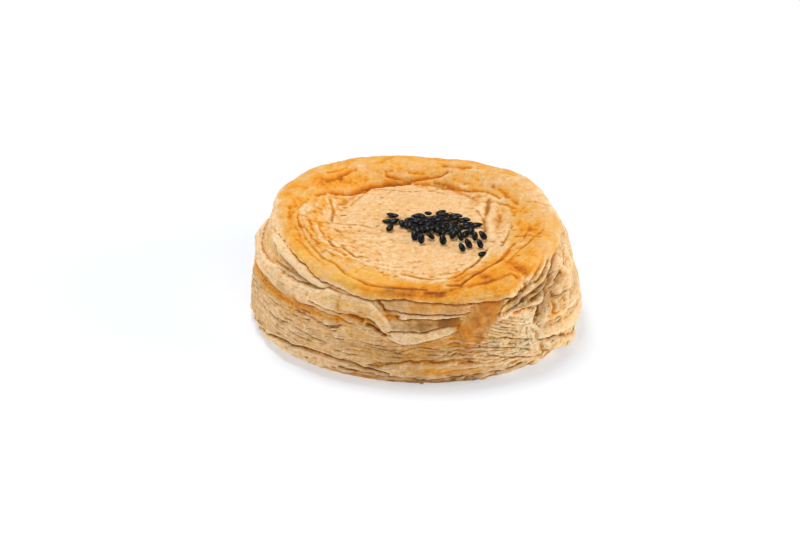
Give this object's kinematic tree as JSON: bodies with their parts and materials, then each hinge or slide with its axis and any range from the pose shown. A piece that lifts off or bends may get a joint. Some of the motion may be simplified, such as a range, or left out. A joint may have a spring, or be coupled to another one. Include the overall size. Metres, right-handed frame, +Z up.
{
  "type": "cheese pastry",
  "caption": "Round flaky cheese pastry, baked whole, with a browned dished top, pale layered sides and a patch of black sesame seeds.",
  "frame": {"origin": "centre of the flat base, on the surface that the pastry rests on", "axes": "+Z up out of the browned top, +X to the right and -Y to the front as the picture sees it"},
  "size_m": [0.1008, 0.0916, 0.0357],
  "materials": {
    "crust": "baked laminated dough: egg-washed and browned on top, pale and matt on the sides",
    "sesame": "dry black sesame, satin"
  },
  "bodies": {
    "root": {"pastry": "crust"}
  },
  "joints": []
}
